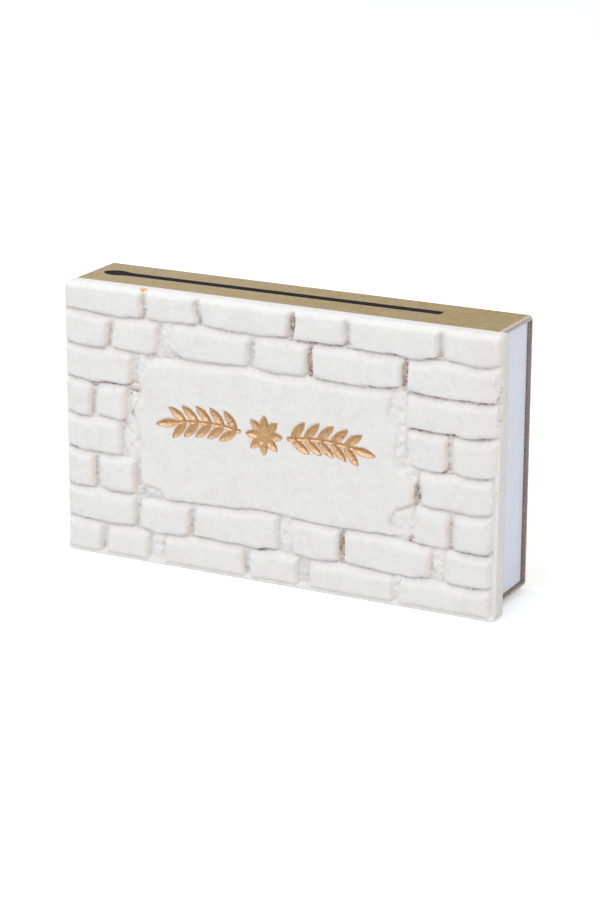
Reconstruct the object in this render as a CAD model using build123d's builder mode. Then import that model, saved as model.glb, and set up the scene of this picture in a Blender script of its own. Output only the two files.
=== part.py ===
from build123d import *
import math
import os

# A box of long matches that stands upright on its narrow side, with a cast plaque glued to its front.
# Millimetres, +Z up, the plaque faces -Y, the tray slides along X.
# The origin is under the middle of the whole object, on the surface that it stands on.

os.makedirs("parts", exist_ok=True)

# Card sleeve
sleeve_length = 110.0
sleeve_height = 65.0
sleeve_depth = 20.0
sleeve_card = 0.5
sleeve_bend_radius = 0.9
seam_glue_thickness = 0.1
seam_glue_margin = 2.0
outer_flap_setback = 0.9
inner_flap_setback = 1.6

# Striking surface, under the sleeve
striker_thickness = 0.1
striker_side_margin = 2.5
striker_end_margin = 1.0

# Tray, its open side towards the plaque
tray_card = 0.5
tray_clearance = 0.3
tray_end_recess = 1.0
tray_tab_length = 12.0
tray_rim_radius = 0.4

# Matches
match_count = 45
match_columns = 4
match_length = 96.0
splint_side = 2.9
head_diameter = 4.2
head_length = 7.0
head_tip_radius = 1.7
head_cover = 5.6
match_gap = 0.15
head_end_gap = 3.0
match_slip = 1.4

# Cast plaque
plaque_width = 113.0
plaque_height = 67.0
plaque_base = 3.8
plaque_relief = 1.0
plaque_corner_radius = 1.5
plaque_edge_radius = 0.8
plaque_below_sleeve = 1.2
brick_rim = 0.2
mortar_width = 0.4
brick_corner_cut = 0.7
brick_bevel = 0.9

# Glue between the plaque and the sleeve
glue_thickness = 0.3
glue_pad_width = 30.0
glue_pad_height = 16.0
glue_pad_corner = 2.0
glue_pad_margin = 8.0

# Gilded ornament, sunk into the middle panel
gilding_recess = 0.5
gilding_thickness = 0.35
gilding_clearance = 0.05
rosette_radius = 4.8
rosette_petals = 8
petal_width = 2.0
rosette_eye_radius = 1.4
sprig_gap = 1.4
sprig_length = 22.5
sprig_rise = 1.6
sprig_leaf_pairs = 5
stem_width = 0.9
leaf_length = 5.6
leaf_width = 1.9
leaf_angle_degrees = 42.0
ornament_x_share = -0.022
ornament_z_share = 0.540

# Lines of the mortar beds, from the plaque's top down to its bottom, as shares of its width and height.
# The courses stand between them.
bed_lines_shares = (
    ((-0.5, 1.0), (0.5, 1.0)),
    (
        (-0.5, 0.892), (-0.450, 0.896), (-0.415, 0.888), (-0.357, 0.886), (-0.312, 0.893), (-0.271, 0.887),
        (-0.196, 0.894), (-0.165, 0.896), (-0.112, 0.887), (-0.036, 0.887), (0.027, 0.891), (0.071, 0.887),
        (0.161, 0.890), (0.220, 0.880), (0.259, 0.884), (0.309, 0.875), (0.357, 0.887), (0.384, 0.890),
        (0.446, 0.878), (0.5, 0.887),
    ),
    (
        (-0.5, 0.772), (-0.446, 0.765), (-0.411, 0.765), (-0.392, 0.773), (-0.339, 0.765), (-0.295, 0.762),
        (-0.272, 0.772), (-0.252, 0.800), (-0.235, 0.781), (-0.214, 0.766), (-0.161, 0.763), (-0.089, 0.769),
        (-0.057, 0.775), (-0.027, 0.767), (0.0, 0.760), (0.063, 0.764), (0.080, 0.769), (0.107, 0.761),
        (0.170, 0.757), (0.223, 0.760), (0.268, 0.766), (0.288, 0.769), (0.313, 0.761), (0.348, 0.756),
        (0.420, 0.755), (0.5, 0.761),
    ),
    (
        (-0.5, 0.648), (-0.473, 0.645), (-0.446, 0.640), (-0.433, 0.633), (-0.402, 0.640), (-0.357, 0.640),
        (-0.330, 0.649), (0.290, 0.631), (0.313, 0.637), (0.344, 0.633), (0.384, 0.631), (0.398, 0.634),
        (0.411, 0.627), (0.438, 0.625), (0.464, 0.632), (0.482, 0.638), (0.5, 0.640),
    ),
    (
        (-0.5, 0.512), (-0.459, 0.506), (-0.432, 0.509), (-0.414, 0.516), (-0.388, 0.510), (-0.357, 0.506),
        (-0.340, 0.504), (0.295, 0.504), (0.336, 0.496), (0.366, 0.493), (0.395, 0.499), (0.424, 0.493),
        (0.455, 0.490), (0.482, 0.496), (0.5, 0.499),
    ),
    (
        (-0.5, 0.384), (-0.479, 0.385), (-0.459, 0.376), (-0.432, 0.380), (-0.396, 0.375), (-0.370, 0.380),
        (-0.345, 0.378), (0.320, 0.373), (0.366, 0.365), (0.420, 0.362), (0.437, 0.357), (0.455, 0.360),
        (0.482, 0.368), (0.5, 0.370),
    ),
    (
        (-0.5, 0.245), (-0.455, 0.241), (-0.416, 0.248), (-0.393, 0.240), (-0.330, 0.240), (-0.310, 0.237),
        (-0.250, 0.241), (-0.160, 0.247), (-0.090, 0.249), (-0.045, 0.260), (-0.010, 0.260), (0.020, 0.254),
        (0.090, 0.246), (0.180, 0.242), (0.270, 0.243), (0.315, 0.233), (0.375, 0.225), (0.405, 0.231),
        (0.425, 0.226), (0.464, 0.223), (0.5, 0.226),
    ),
    (
        (-0.5, 0.126), (-0.460, 0.122), (-0.420, 0.120), (-0.384, 0.116), (-0.357, 0.120), (-0.325, 0.122),
        (-0.304, 0.117), (-0.289, 0.107), (-0.268, 0.107), (-0.232, 0.112), (-0.180, 0.122), (-0.146, 0.122),
        (-0.120, 0.117), (-0.075, 0.119), (-0.044, 0.110), (-0.010, 0.122), (0.055, 0.119), (0.071, 0.110),
        (0.116, 0.111), (0.152, 0.120), (0.180, 0.116), (0.259, 0.107), (0.310, 0.105), (0.340, 0.111),
        (0.375, 0.113), (0.402, 0.107), (0.430, 0.101), (0.5, 0.107),
    ),
    ((-0.5, 0.0), (0.5, 0.0)),
)

# Joints of each course, as shares of the plaque's width: at the joint's foot and at its head.
# A run of joints holds bricks side by side, and wide mortar or the middle panel lies between two runs.
course_runs_shares = (
    (
        (
            (-0.5, -0.5), (-0.305, -0.304), (-0.173, -0.181), (0.036, 0.040), (0.164, 0.163), (0.370, 0.370),
            (0.5, 0.5),
        ),
    ),
    (
        ((-0.5, -0.5), (-0.392, -0.383), (-0.272, -0.267)),
        ((-0.252, -0.246), (-0.055, -0.051), (0.078, 0.078), (0.288, 0.290), (0.5, 0.5)),
    ),
    (((-0.5, -0.5), (-0.333, -0.330)), ((0.292, 0.292), (0.5, 0.5))),
    (((-0.5, -0.5), (-0.431, -0.428), (-0.346, -0.346)), ((0.297, 0.293), (0.392, 0.393), (0.5, 0.5))),
    (((-0.5, -0.5), (-0.355, -0.359)), ((0.326, 0.321), (0.5, 0.5))),
    (((-0.5, -0.5), (-0.422, -0.425), (-0.325, -0.325)), ((0.312, 0.312), (0.400, 0.398), (0.5, 0.5))),
    (
        ((-0.5, -0.5), (-0.325, -0.324), (-0.197, -0.191), (0.015, 0.013)),
        ((0.036, 0.034), (0.155, 0.154), (0.360, 0.362)),
        ((0.379, 0.381), (0.5, 0.5)),
    ),
    (
        ((-0.5, -0.5), (-0.409, -0.405), (-0.293, -0.292)),
        ((-0.268, -0.266), (-0.063, -0.065), (0.060, 0.061)),
        ((0.074, 0.076), (0.276, 0.280), (0.5, 0.5)),
    ),
)

# Outline of the smooth middle panel, from its upper left corner round, as shares of the plaque's width
# and height
panel_outline_shares = (
    (-0.283, 0.761), (-0.214, 0.762), (-0.161, 0.759), (-0.089, 0.765), (-0.055, 0.769), (0.0, 0.755),
    (0.080, 0.764), (0.107, 0.757), (0.170, 0.752), (0.223, 0.755), (0.258, 0.760),
    (0.270, 0.749), (0.264, 0.680), (0.272, 0.655), (0.284, 0.634), (0.286, 0.605), (0.281, 0.530),
    (0.290, 0.500), (0.306, 0.478), (0.314, 0.455), (0.322, 0.376),
    (0.308, 0.360), (0.288, 0.343), (0.273, 0.319), (0.267, 0.296), (0.275, 0.272), (0.287, 0.252),
    (0.223, 0.245), (0.090, 0.246), (0.018, 0.255), (-0.009, 0.261), (-0.045, 0.261), (-0.089, 0.251),
    (-0.161, 0.248), (-0.254, 0.242), (-0.266, 0.250), (-0.272, 0.274), (-0.302, 0.279), (-0.317, 0.290),
    (-0.321, 0.315), (-0.324, 0.418), (-0.322, 0.463), (-0.332, 0.522), (-0.336, 0.557), (-0.331, 0.590),
    (-0.319, 0.620), (-0.317, 0.702), (-0.305, 0.743),
)

# Places that follow from the sizes above
overall_depth = plaque_base + plaque_relief + glue_thickness + sleeve_depth
plaque_front_y = -overall_depth / 2
plaque_face_y = plaque_front_y + plaque_relief
plaque_back_y = plaque_face_y + plaque_base
sleeve_front_y = plaque_back_y + glue_thickness
sleeve_back_y = sleeve_front_y + sleeve_depth
sleeve_left_x = -plaque_width / 2
sleeve_middle_x = sleeve_left_x + sleeve_length / 2
sleeve_bottom_z = plaque_below_sleeve
sleeve_top_z = sleeve_bottom_z + sleeve_height
inner_flap_top_z = sleeve_top_z - sleeve_card - seam_glue_thickness
bay_front_y = sleeve_front_y + sleeve_card
bay_back_y = sleeve_back_y - sleeve_card
bay_bottom_z = sleeve_bottom_z + sleeve_card
bay_top_z = inner_flap_top_z - sleeve_card
ornament_x = ornament_x_share * plaque_width
ornament_z = ornament_z_share * plaque_height


def facing_front(y):
    """Plane of an upright face at this y that looks towards -Y, with its own y axis up."""
    return Plane.XZ.offset(-y)


def save(part, name):
    part.label = name
    export_step(part, f"parts/{name}.step")


def bed_z(line, x):
    """Height of a mortar bed at x, between the two points of its line that x lies between."""
    shares = bed_lines_shares[line]
    points = [(x_share * plaque_width, z_share * plaque_height) for x_share, z_share in shares]
    for (left_x, left_z), (right_x, right_z) in zip(points, points[1:]):
        if x <= right_x:
            return left_z + (right_z - left_z) * (x - left_x) / (right_x - left_x)
    return points[-1][1]


def bed_stretch(line, from_x, to_x):
    """Points of a mortar bed from from_x to to_x, and its own points well between them."""
    between = [share * plaque_width for share, _ in bed_lines_shares[line]]
    between = [x for x in between if from_x + brick_corner_cut < x < to_x - brick_corner_cut]
    return [(x, bed_z(line, x)) for x in (from_x, *between, to_x)]


def inset(at_plaque_edge):
    """The rim beside the plaque's own edge, and half a mortar joint beside another brick."""
    if at_plaque_edge:
        return brick_rim
    return mortar_width / 2


def brick_outline(course, left, right):
    """A brick with its corners cut off, between two beds and two joints, each of (foot, head) shares."""
    left_foot, left_head = (share * plaque_width + inset(share == -0.5) for share in left)
    right_foot, right_head = (share * plaque_width - inset(share == 0.5) for share in right)
    bottom_z = inset(course == len(course_runs_shares) - 1)
    top_z = -inset(course == 0)
    foot = bed_stretch(course + 1, left_foot + brick_corner_cut, right_foot - brick_corner_cut)
    head = bed_stretch(course, left_head + brick_corner_cut, right_head - brick_corner_cut)
    foot = [(x, z + bottom_z) for x, z in foot]
    head = [(x, z + top_z) for x, z in head]
    return (
        *foot,
        (right_foot, foot[-1][1] + brick_corner_cut),
        (right_head, head[-1][1] - brick_corner_cut),
        *reversed(head),
        (left_head, head[0][1] - brick_corner_cut),
        (left_foot, foot[0][1] + brick_corner_cut),
    )


def inset_outline(points, distance):
    """The outline's points moved inwards by a distance, for an outline that runs anticlockwise."""
    moved = []
    for index, point in enumerate(points):
        before = Vector(*points[index - 1])
        corner = Vector(*point)
        after = Vector(*points[(index + 1) % len(points)])
        inward_before = (corner - before).normalized().rotate(Axis.Z, 90)
        inward_after = (after - corner).normalized().rotate(Axis.Z, 90)
        middle = (inward_before + inward_after).normalized()
        moved.append(corner + middle * (distance / middle.dot(inward_after)))
    return [(point.X, point.Y) for point in moved]


def pad_sections(points):
    """Foot and face of a bevelled pad over an anticlockwise outline on the front of the plaque."""
    sections = []
    for y, outline in ((plaque_face_y, points), (plaque_front_y, inset_outline(points, brick_bevel))):
        with BuildSketch(facing_front(y), mode=Mode.PRIVATE) as section:
            with BuildLine():
                Polyline(*outline, close=True)
            make_face()
        sections.append(section.sketch)
    return sections


def leaf(base, angle_degrees, length, width):
    """A pointed leaf: two arcs from its base to its tip."""
    along = Vector(1, 0).rotate(Axis.Z, angle_degrees)
    across = along.rotate(Axis.Z, 90)
    tip = base + along * length
    belly = base + along * (length / 2)
    with BuildLine() as edge:
        ThreePointArc(base, belly + across * (width / 2), tip)
        ThreePointArc(tip, belly - across * (width / 2), base)
    make_face(edge.edges())


def sprig_sketch(plane, side, grow):
    """A curved stem with pairs of leaves and a leaf at its tip. side is 1 to the right, -1 to the left."""
    start_x = side * (rosette_radius + sprig_gap)
    stem_end_x = start_x + side * (sprig_length - leaf_length)
    with BuildSketch(plane, mode=Mode.PRIVATE) as sketch:
        with BuildLine(mode=Mode.PRIVATE):
            stem = ThreePointArc(
                (start_x, 0),
                ((start_x + stem_end_x) / 2, sprig_rise / 2),
                (stem_end_x, 0),
            )
        trace(stem, line_width=stem_width + 2 * grow)
        for pair in range(sprig_leaf_pairs):
            at = (pair + 1 / 4) / sprig_leaf_pairs
            base = stem @ at
            heading = math.degrees(math.atan2((stem % at).Y, (stem % at).X))
            for turn in (leaf_angle_degrees, -leaf_angle_degrees):
                leaf(base, heading + turn, leaf_length + grow, leaf_width + 2 * grow)
        heading = math.degrees(math.atan2((stem % 1).Y, (stem % 1).X))
        tip_base = stem @ 1 - (stem % 1) * stem_width
        leaf(tip_base, heading, leaf_length + stem_width + grow, leaf_width + 2 * grow)
    return sketch.sketch


def rosette_sketch(plane, grow):
    """Petals round an eye."""
    with BuildSketch(plane, mode=Mode.PRIVATE) as sketch:
        Circle(rosette_eye_radius + grow)
        for petal in range(rosette_petals):
            leaf(Vector(0, 0), petal * 360 / rosette_petals, rosette_radius + grow, petal_width + 2 * grow)
    return sketch.sketch


def ornament_plane(y):
    return Plane(origin=(ornament_x, y, ornament_z), x_dir=(1, 0, 0), z_dir=(0, -1, 0))


# Cast plaque with its bricks, its middle panel and the sunk beds of the ornament
pad_outlines = [[(x * plaque_width, z * plaque_height) for x, z in reversed(panel_outline_shares)]]
for course, runs in enumerate(course_runs_shares):
    for run in runs:
        for left, right in zip(run, run[1:]):
            pad_outlines.append(brick_outline(course, left, right))
with BuildPart() as plaque:
    with BuildSketch(facing_front(plaque_back_y)):
        with Locations((0, plaque_height / 2)):
            RectangleRounded(plaque_width, plaque_height, plaque_corner_radius)
    extrude(amount=plaque_base)
    front_face = plaque.faces().sort_by(Axis.Y)[0]
    fillet(front_face.edges(), plaque_edge_radius)
    add([loft(pad_sections(outline), ruled=True, mode=Mode.PRIVATE) for outline in pad_outlines])
    bed_plane = ornament_plane(plaque_front_y + gilding_recess)
    extrude(sprig_sketch(bed_plane, -1, gilding_clearance), amount=gilding_recess, mode=Mode.SUBTRACT)
    extrude(rosette_sketch(bed_plane, gilding_clearance), amount=gilding_recess, mode=Mode.SUBTRACT)
    extrude(sprig_sketch(bed_plane, 1, gilding_clearance), amount=gilding_recess, mode=Mode.SUBTRACT)
save(plaque.part, "plaque")

# Gilding, lying on the floor of its sunk bed
with BuildPart() as gilded_sprig_left:
    extrude(sprig_sketch(bed_plane, -1, 0), amount=gilding_thickness)
save(gilded_sprig_left.part, "gilded_sprig_left")

with BuildPart() as gilded_rosette:
    extrude(rosette_sketch(bed_plane, 0), amount=gilding_thickness)
save(gilded_rosette.part, "gilded_rosette")

with BuildPart() as gilded_sprig_right:
    extrude(sprig_sketch(bed_plane, 1, 0), amount=gilding_thickness)
save(gilded_sprig_right.part, "gilded_sprig_right")

# Four pads of glue between the plaque's back and the sleeve's front panel, where the two lie over each other
shared_right_x = min(sleeve_left_x + sleeve_length, plaque_width / 2)
shared_top_z = min(sleeve_top_z, plaque_height)
shared_middle_x = (sleeve_left_x + shared_right_x) / 2
shared_middle_z = (sleeve_bottom_z + shared_top_z) / 2
pad_x = (shared_right_x - sleeve_left_x) / 2 - glue_pad_margin - glue_pad_width / 2
pad_z = (shared_top_z - sleeve_bottom_z) / 2 - glue_pad_margin - glue_pad_height / 2
pad_places = [(across * pad_x, up * pad_z) for up in (1, -1) for across in (-1, 1)]
for number, (across, up) in enumerate(pad_places, start=1):
    with BuildPart() as glue_pad:
        with BuildSketch(facing_front(sleeve_front_y)):
            with Locations((shared_middle_x + across, shared_middle_z + up)):
                RectangleRounded(glue_pad_width, glue_pad_height, glue_pad_corner)
        extrude(amount=glue_thickness)
    save(glue_pad.part, f"glue_pad_{number}")

# Sleeve: one card folded round the tray, its outer flap glued down over its inner flap along the top
card_front_y = sleeve_front_y + sleeve_card / 2
card_back_y = sleeve_back_y - sleeve_card / 2
card_bottom_z = sleeve_bottom_z + sleeve_card / 2
outer_flap_z = sleeve_top_z - sleeve_card / 2
inner_flap_z = inner_flap_top_z - sleeve_card / 2
with BuildPart() as sleeve:
    with BuildSketch(Plane.YZ.offset(sleeve_left_x)):
        with BuildLine() as fold_line:
            FilletPolyline(
                (sleeve_back_y - outer_flap_setback, outer_flap_z),
                (card_front_y, outer_flap_z),
                (card_front_y, card_bottom_z),
                (card_back_y, card_bottom_z),
                (card_back_y, inner_flap_z),
                (sleeve_front_y + inner_flap_setback, inner_flap_z),
                radius=sleeve_bend_radius - sleeve_card / 2,
            )
        trace(line_width=sleeve_card)
    extrude(amount=sleeve_length)
save(sleeve.part, "sleeve")

# Glue line between the two flaps
glue_front_y = sleeve_front_y + inner_flap_setback + seam_glue_margin
glue_back_y = sleeve_back_y - outer_flap_setback - seam_glue_margin
with BuildPart() as seam_glue:
    with BuildSketch(Plane.XY.offset(inner_flap_top_z)):
        with Locations((sleeve_middle_x, (glue_front_y + glue_back_y) / 2)):
            Rectangle(sleeve_length - 2 * seam_glue_margin, glue_back_y - glue_front_y)
    extrude(amount=seam_glue_thickness)
save(seam_glue.part, "seam_glue")

# Striking strip, on the narrow side that the box stands over
with BuildPart() as striker_strip:
    with BuildSketch(Plane.XY.offset(sleeve_bottom_z - striker_thickness)):
        with Locations((sleeve_middle_x, (sleeve_front_y + sleeve_back_y) / 2)):
            Rectangle(sleeve_length - 2 * striker_end_margin, sleeve_depth - 2 * striker_side_margin)
    extrude(amount=striker_thickness)
save(striker_strip.part, "striker_strip")

# Tray: the floor is at the back, and the ends are folded over double, with the side walls' tabs glued inside
tray_front_y = bay_front_y + tray_clearance
tray_back_y = bay_back_y - tray_clearance
tray_bottom_z = bay_bottom_z + tray_clearance
tray_top_z = bay_top_z - tray_clearance
tray_middle_z = (tray_bottom_z + tray_top_z) / 2
tray_length = sleeve_length - 2 * tray_end_recess
tray_height = tray_top_z - tray_bottom_z
tray_depth = tray_back_y - tray_front_y
tray_inside_height = tray_height - 2 * tray_card
tray_inside_depth = tray_depth - tray_card
end_wall = 2 * tray_card
tray_bay_length = tray_length - 2 * end_wall
with BuildPart() as tray:
    with BuildSketch(facing_front(tray_back_y)):
        with Locations((sleeve_middle_x, tray_middle_z)):
            Rectangle(tray_length, tray_height)
    extrude(amount=tray_depth)
    with BuildSketch(facing_front(tray_back_y - tray_card)):
        with Locations((sleeve_middle_x, tray_middle_z)):
            Rectangle(tray_bay_length, tray_inside_height)
    extrude(amount=tray_inside_depth, mode=Mode.SUBTRACT)
    end_rims = tray.faces().sort_by(Axis.Y)[0].edges().filter_by(Axis.Z)
    fillet(end_rims, tray_rim_radius)
    with BuildSketch(facing_front(tray_back_y - tray_card)):
        for end in (-1, 1):
            for side in (-1, 1):
                tab_x = sleeve_middle_x + end * (tray_bay_length - tray_card) / 2
                tab_z = tray_middle_z + side * (tray_inside_height - tray_tab_length) / 2
                with Locations((tab_x, tab_z)):
                    Rectangle(tray_card, tray_tab_length)
    extrude(amount=tray_inside_depth - 2 * tray_card)
save(tray.part, "tray")

# Matches: rows of four lie on the tray's lower wall, their thick heads together, so that each row tilts more
# than the one under it
head_pitch = head_diameter + match_gap
tail_pitch = splint_side + 2 * match_gap
lever = match_length - head_length
rest_z = tray_bottom_z + tray_card + match_gap
head_middle_x = sleeve_middle_x + tray_bay_length / 2 - tray_card - head_end_gap - head_length / 2
first_column_y = tray_back_y - tray_card - match_gap - head_diameter / 2
slip_turn = math.pi * (3 - math.sqrt(5))
for number in range(1, match_count + 1):
    row, column = divmod(number - 1, match_columns)
    head_z = rest_z + head_diameter / 2 + row * head_pitch
    tail_z = rest_z + splint_side / 2 + row * tail_pitch
    tilt = math.degrees(math.asin((head_z - tail_z) / lever))
    # The match's own plane stands at the middle of its head and looks back along its splint
    axis_plane = Plane(
        origin=(head_middle_x, first_column_y - column * head_pitch, head_z),
        x_dir=(0, 1, 0),
        z_dir=(-math.cos(math.radians(tilt)), 0, -math.sin(math.radians(tilt))),
    ).offset(match_slip * math.sin(slip_turn * number))
    splint_start = head_length / 2 - head_cover
    splint_end = match_length - head_length / 2
    with BuildPart() as splint:
        with BuildSketch(axis_plane.offset(splint_start)):
            Rectangle(splint_side, splint_side)
        extrude(amount=splint_end - splint_start)
    with BuildPart() as head:
        with BuildSketch(axis_plane.offset(-head_length / 2)):
            Circle(head_diameter / 2)
        extrude(amount=head_length)
        tip_edge = head.edges().sort_by(Axis(axis_plane.origin, axis_plane.z_dir))[0]
        neck_edge = head.edges().sort_by(Axis(axis_plane.origin, axis_plane.z_dir))[-1]
        fillet(tip_edge, head_tip_radius)
        fillet(neck_edge, head_diameter / 2 - splint_side / 2)
        with BuildSketch(axis_plane.offset(splint_start)):
            Rectangle(splint_side, splint_side)
        extrude(amount=head_cover, mode=Mode.SUBTRACT)
    save(Compound(children=[splint.part, head.part]), f"match_{number:02d}")
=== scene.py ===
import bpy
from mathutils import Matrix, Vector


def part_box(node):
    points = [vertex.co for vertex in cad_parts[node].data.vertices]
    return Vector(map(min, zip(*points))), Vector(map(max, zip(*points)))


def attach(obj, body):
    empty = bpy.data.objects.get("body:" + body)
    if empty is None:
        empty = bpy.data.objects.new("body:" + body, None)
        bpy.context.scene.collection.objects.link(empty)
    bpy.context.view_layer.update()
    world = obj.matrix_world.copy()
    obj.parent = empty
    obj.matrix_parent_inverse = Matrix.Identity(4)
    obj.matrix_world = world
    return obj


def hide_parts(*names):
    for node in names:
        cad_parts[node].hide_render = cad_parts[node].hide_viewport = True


bl_info = {
    "name": "Matchbox with a Stone Plaque",
    "version": (1, 0, 0),
    "blender": (4, 5, 0),
    "location": "View3D > Sidebar > Matchbox",
    "description": "Models and finishes the visible pieces of a matchbox with a cast plaque on its front",
    "category": "Add Mesh",
}

import math
import random

import bmesh
import bpy
from bpy.props import FloatProperty, FloatVectorProperty, IntProperty, PointerProperty
from bpy.types import Operator, Panel, PropertyGroup
from mathutils import Matrix, Vector, noise
from mathutils.bvhtree import BVHTree

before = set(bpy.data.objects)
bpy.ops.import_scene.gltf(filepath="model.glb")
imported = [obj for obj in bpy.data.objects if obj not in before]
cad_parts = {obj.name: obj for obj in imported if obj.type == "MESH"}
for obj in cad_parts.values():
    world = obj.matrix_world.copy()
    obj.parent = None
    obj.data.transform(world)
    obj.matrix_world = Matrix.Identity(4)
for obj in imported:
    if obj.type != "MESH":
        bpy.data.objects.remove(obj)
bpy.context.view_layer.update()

MM = 0.001
MERGE = 0.001 * MM

# Blender takes the offsets of its noise vectors from the clock unless they have a seed
WANDER_SEED = 4

TO_THE_BACK = Vector((0, 1, 0))
GILDED_NODES = ("gilded_sprig_left", "gilded_rosette", "gilded_sprig_right")

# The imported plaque's relief and rounding, and how its mesh follows them
RELIEF_DEPTH = 1.0 * MM
CORNER_RADIUS = 1.5 * MM
EDGE_MARGIN = 0.03 * MM
DEEPEST = 1.7 * MM
FLAT_DEPTH = 0.05 * MM
FINE_DEPTH = 0.30 * MM
HALVINGS = 2
ORNAMENT_FINE = 0.55 * MM
ORNAMENT_REACH = 1.0 * MM
SKIN = 0.05 * MM

# Places on the plaque's front where its look changes: x and z of the middle and half width and height, in mm
DARK_STREAKS = (
    (39.0, 51.0, 4.0, 0.6), (50.0, 51.2, 4.2, 0.6), (39.2, 43.0, 4.0, 0.6), (49.6, 43.0, 4.6, 0.6),
    (42.5, 33.9, 2.2, 0.5), (-53.6, 43.5, 1.1, 0.5), (-48.2, 43.0, 1.3, 0.8), (-42.4, 43.4, 4.6, 0.4),
    (-36.8, 41.6, 1.8, 0.5), (-37.4, 36.7, 0.9, 0.6), (-53.8, 26.3, 1.2, 0.5), (-3.5, 8.2, 2.6, 0.5),
    (35.6, 16.4, 1.2, 0.5), (17.6, 11.8, 0.8, 3.0), (36.2, 27.0, 0.7, 2.0), (4.6, 63.6, 0.8, 3.0),
    (9.2, 55.0, 0.8, 3.2), (33.0, 55.0, 0.8, 2.7), (12.0, 59.8, 7.0, 0.5), (31.0, 59.8, 9.0, 0.4),
    (22.0, 52.1, 9.0, 0.5), (50.0, 15.7, 3.6, 0.5), (27.3, 8.4, 5.0, 0.5),
)
SOFT_MORTAR = (
    (-28.2, 56.3, 1.4, 3.0), (3.0, 12.4, 1.3, 3.4), (42.0, 12.0, 1.2, 3.2), (-31.5, 4.2, 1.3, 2.6),
    (31.9, 3.6, 1.0, 2.8), (31.5, 42.0, 1.7, 7.4), (-37.9, 29.6, 1.8, 4.0), (33.3, 19.6, 2.4, 2.8),
    (-32.1, 18.2, 2.0, 1.6), (-35.3, 46.6, 1.0, 3.6), (34.4, 31.2, 1.4, 3.6), (-36.9, 39.0, 1.3, 3.0),
)
GILT_SPOTS = (
    (-35.0, 66.9, 0.9, 0.45), (-36.2, 10.6, 0.35, 0.3), (-36.6, 19.0, 0.3, 0.3),
)
GREY_SPECKS = (
    (55.6, 29.8, 0.5, 1.2), (55.6, 4.0, 0.6, 1.8), (56.1, 52.5, 0.5, 2.6), (56.1, 46.5, 0.4, 1.8),
    (54.9, 56.0, 0.5, 0.6),
)
SPOT_REACH = 1.6

# The wander of the bricks' edges: size of its slow and fine waves, and how the joints are drawn aside
SLOW_WANDER = 3.1 * MM
FINE_WANDER = 1.0 * MM
FINE_WANDER_SHARE = 0.60
FINE_WANDER_DRIFT = Vector((0, 0.1, 0))
SIDECUT_DRAWN = 0.6
UNDERCUT_DRAWN = 0.75
ORNAMENT_CALM = 3 * MM
JOINT_REACH = 1.35 * MM
FOOT_DEPTHS = (0.40, 1.15)

# The soft lip at the right edge, as shares of the plaque's height or of the relief
LIP_TOP_SHARE = 0.66
LIP_FADE_SHARE = 0.3
LIP_WAVE_SHARE = 0.12
LIP_WAVE = 6 * MM
LIP_DRIFT = 3.3
LIP_HEIGHT = 0.50
LIP_HEIGHT_WANDER = 0.14
LIP_HEIGHT_WAVE = 3 * MM

# Wear of the plaque: sizes of its waves with their heights, then soft mortar, streaks, sides and the bed
SAG_WAVES = ((7.0 * MM, 0.55), (2.4 * MM, 0.60))
MORTAR_LUMPS = ((1.3 * MM, 0.09 * MM, 0.12 * MM), (0.6 * MM, 0.02 * MM, 0.07 * MM))
SOFT_LIFT = 0.5 * MM
SOFT_LIFT_WANDER = 0.3 * MM
SOFT_WAVE = 1.6 * MM
STREAK_HOLE = 0.35 * MM
SIDE_WAVE = (1.4 * MM, 0.10 * MM)
SIDE_GRAIN = (0.5 * MM, 0.05 * MM)
SIDE_REACH = 1.0 * MM
FIRST_RING_SHARE = 0.35
BACK_ROUNDING = 0.16 * MM
BED_MARGIN = 1.5
BED_CLEARANCE = 0.10 * MM

# Size of the patches and flecks that break up the dirt and painted shade in the joints, of the specks of dirt,
# and of the waves in the painted warm shade at the right edge
DIRT_AND_SHADE_PATCH = 4.5 * MM
DIRT_AND_SHADE_FLECK = 1.1 * MM
DIRT_SPECK = 0.55 * MM
WARM_SHADE_WAVE = 3 * MM

# Ranges over which something sets in, from none of it to all of it: from the outline inwards, in metres
SHIFT_INWARD = (0.5 * MM, 3.0 * MM)
WANDER_INWARD = (0.2 * MM, 1.2 * MM)
WEAR_INWARD = (0.3 * MM, 2.0 * MM)
LIP_INWARD = (7 * MM, 1.5 * MM)
LIP_RIM = (1.5 * MM, 0.35 * MM)
FOOT_UPWARD = (0.3 * MM, 2.0 * MM)
VALLEY_SIDES = (0.65 * MM, 0.25 * MM)
ORNAMENT_OUTWARD = (0.1 * MM, 0.9 * MM)
BED_WALL = (0, 0.12 * MM)
DIRT_AND_SHADE_FROM_TOP = (1.0 * MM, 2.4 * MM)
DIRT_AND_SHADE_FROM_FOOT = (0.9 * MM, 2.0 * MM)
DIRT_AND_SHADE_FROM_RIGHT = (1.2 * MM, 3.0 * MM)
DIRT_AND_SHADE_FROM_LEFT = (0.1 * MM, 1.0 * MM)
WARM_SHADE_BORDER = (13 * MM, 1 * MM)
WARM_SHADE_FLANK_INWARD = (0.5 * MM, 4.0 * MM)

# The same for a depth as a share of the relief's
MORTAR_DEPTH = (0.45, 0.95)
UNDER_DEPTH = (0.15, 0.5)
SHADOW_DEPTH = (0.10, 0.4)
CREASE_DEPTH = (0.78, 1.05)
STREAK_DEPTH = (0.35, 0.9)
FLANK_DEPTH = (0.2, 0.9)
SIDES_DEPTH = 4.9

# The same for how far a face looks down, up or to the right
UNDER_SLOPE = (0.35, 0.85)
SHADOW_SLOPE = (0.12, 0.60)
CREASE_SLOPE = (0.10, 0.42)
FLANK_SLOPE = (0.12, 0.60)
HIGHLIGHT_SLOPE = (-0.45, 0.55)


# Sizes and colours

LENGTH = {"unit": "LENGTH", "subtype": "DISTANCE", "precision": 5}
ANGLE = {"unit": "ROTATION", "subtype": "ANGLE"}
COLOR = {"subtype": "COLOR", "size": 3, "min": 0, "max": 1}


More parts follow.
